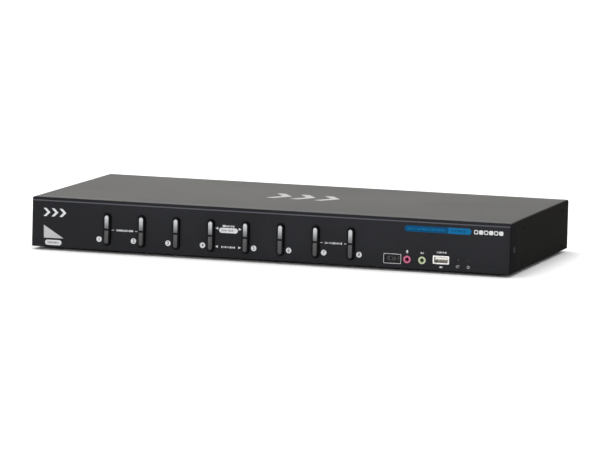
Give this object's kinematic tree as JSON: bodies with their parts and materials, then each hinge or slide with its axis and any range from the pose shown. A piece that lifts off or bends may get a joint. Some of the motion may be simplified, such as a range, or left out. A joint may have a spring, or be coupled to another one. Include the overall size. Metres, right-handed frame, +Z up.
{
  "type": "kvm switch",
  "caption": "Flat rack-width switch box with lit push buttons and audio and USB sockets in front, and video, USB and power sockets behind, to share one desk set between computers.",
  "frame": {"origin": "centre of the bounding box in X and Y, on the underside of the rubber feet", "axes": "+X to the right seen from the front, +Y to the back, +Z up; the push buttons face -Y"},
  "size_m": [0.4372, 0.2242, 0.047],
  "materials": {
    "bezel_paint": "satin charcoal paint, fine texture",
    "cover_paint": "satin charcoal powder coat",
    "panel_paint": "satin charcoal paint",
    "tray_steel": "satin charcoal powder coat",
    "foot_rubber": "matte",
    "black_screws": "black oxide",
    "zinc_parts": "zinc plated",
    "circuit_board": "green solder mask",
    "supply_board_face": "bare laminate",
    "chip_black": "moulded resin",
    "heatsink_metal": "extruded",
    "led_body": "clear resin",
    "cable_grey": "vinyl",
    "core_tape": "wound tape",
    "can_sleeve": "heat-shrunk sleeve",
    "black_plastic": "moulded",
    "plated_metal": "bright nickel plating",
    "white_plastic": "moulded",
    "jack_pink": "moulded",
    "jack_green": "moulded",
    "light_window": "translucent, smoked in the lower window",
    "button_plastic": "polished"
  },
  "bodies": {
    "case": {"front_bezel": "bezel_paint", "chassis_tray": "tray_steel", "rear_panel": "panel_paint", "top_cover": "cover_paint", "rubber_feet": "foot_rubber", "bezel_screws": "black_screws", "case_screws": "black_screws", "rack_nuts": "zinc_parts", "main_board": "circuit_board", "video_board": "circuit_board", "switch_chips": "chip_black", "chip_heatsinks": "heatsink_metal", "board_spacers": "zinc_parts", "board_screws": "zinc_parts", "front_board": "circuit_board", "tact_switches": "chip_black", "port_leds": "led_body", "front_io_board": "circuit_board", "ribbon_cable": "cable_grey", "supply_board": "supply_board_face", "supply_transformer": "core_tape", "supply_capacitors": "can_sleeve", "supply_heatsink": "heatsink_metal", "power_inlet": "black_plastic", "inlet_pins": "plated_metal", "rocker_housing": "black_plastic", "dvi_shells": "plated_metal", "dvi_inserts": "white_plastic", "dvi_jackscrews": "zinc_parts", "usb_b_shells": "plated_metal", "usb_b_cores": "white_plastic", "rear_mic_jacks": "jack_pink", "rear_speaker_jacks": "jack_green", "rear_usb_shell": "plated_metal", "rear_usb_tongues": "white_plastic", "front_usb_shell": "plated_metal", "front_usb_tongue": "white_plastic", "front_mic_jack": "jack_pink", "front_speaker_jack": "jack_green", "recovery_switch": "black_plastic", "power_lens": "light_window"},
    "button_1": {"port_button_1": "button_plastic", "port_lens_1": "light_window"},
    "button_2": {"port_button_2": "button_plastic", "port_lens_2": "light_window"},
    "button_3": {"port_button_3": "button_plastic", "port_lens_3": "light_window"},
    "button_4": {"port_button_4": "button_plastic", "port_lens_4": "light_window"},
    "button_5": {"port_button_5": "button_plastic", "port_lens_5": "light_window"},
    "button_6": {"port_button_6": "button_plastic", "port_lens_6": "light_window"},
    "button_7": {"port_button_7": "button_plastic", "port_lens_7": "light_window"},
    "button_8": {"port_button_8": "button_plastic", "port_lens_8": "light_window"},
    "reset": {"reset_button": "black_plastic"},
    "recovery": {"recovery_slider": "black_plastic"},
    "rocker": {"power_rocker": "black_plastic"}
  },
  "joints": [
    {"name": "button_1_press", "type": "slide", "parent": "case", "child": "button_1", "axis": [0, 1, 0], "range_m": [0, 0.0008], "stiffness_N_per_m": 1500, "springref_m": -0.0005},
    {"name": "button_2_press", "type": "slide", "parent": "case", "child": "button_2", "axis": [0, 1, 0], "range_m": [0, 0.0008], "stiffness_N_per_m": 1500, "springref_m": -0.0005},
    {"name": "button_3_press", "type": "slide", "parent": "case", "child": "button_3", "axis": [0, 1, 0], "range_m": [0, 0.0008], "stiffness_N_per_m": 1500, "springref_m": -0.0005},
    {"name": "button_4_press", "type": "slide", "parent": "case", "child": "button_4", "axis": [0, 1, 0], "range_m": [0, 0.0008], "stiffness_N_per_m": 1500, "springref_m": -0.0005},
    {"name": "button_5_press", "type": "slide", "parent": "case", "child": "button_5", "axis": [0, 1, 0], "range_m": [0, 0.0008], "stiffness_N_per_m": 1500, "springref_m": -0.0005},
    {"name": "button_6_press", "type": "slide", "parent": "case", "child": "button_6", "axis": [0, 1, 0], "range_m": [0, 0.0008], "stiffness_N_per_m": 1500, "springref_m": -0.0005},
    {"name": "button_7_press", "type": "slide", "parent": "case", "child": "button_7", "axis": [0, 1, 0], "range_m": [0, 0.0008], "stiffness_N_per_m": 1500, "springref_m": -0.0005},
    {"name": "button_8_press", "type": "slide", "parent": "case", "child": "button_8", "axis": [0, 1, 0], "range_m": [0, 0.0008], "stiffness_N_per_m": 1500, "springref_m": -0.0005},
    {"name": "reset_press", "type": "slide", "parent": "case", "child": "reset", "axis": [0, 1, 0], "range_m": [0, 0.0005], "stiffness_N_per_m": 1500, "springref_m": -0.0004},
    {"name": "recovery_slide", "type": "slide", "parent": "case", "child": "recovery", "axis": [-1, 0, 0], "range_m": [0, 0.003]},
    {"name": "rocker_turn", "type": "hinge", "parent": "case", "child": "rocker", "pos_m": [0.168, 0.10425, 0.025], "axis": [1, 0, 0], "range_deg": [0, 16]}
  ]
}
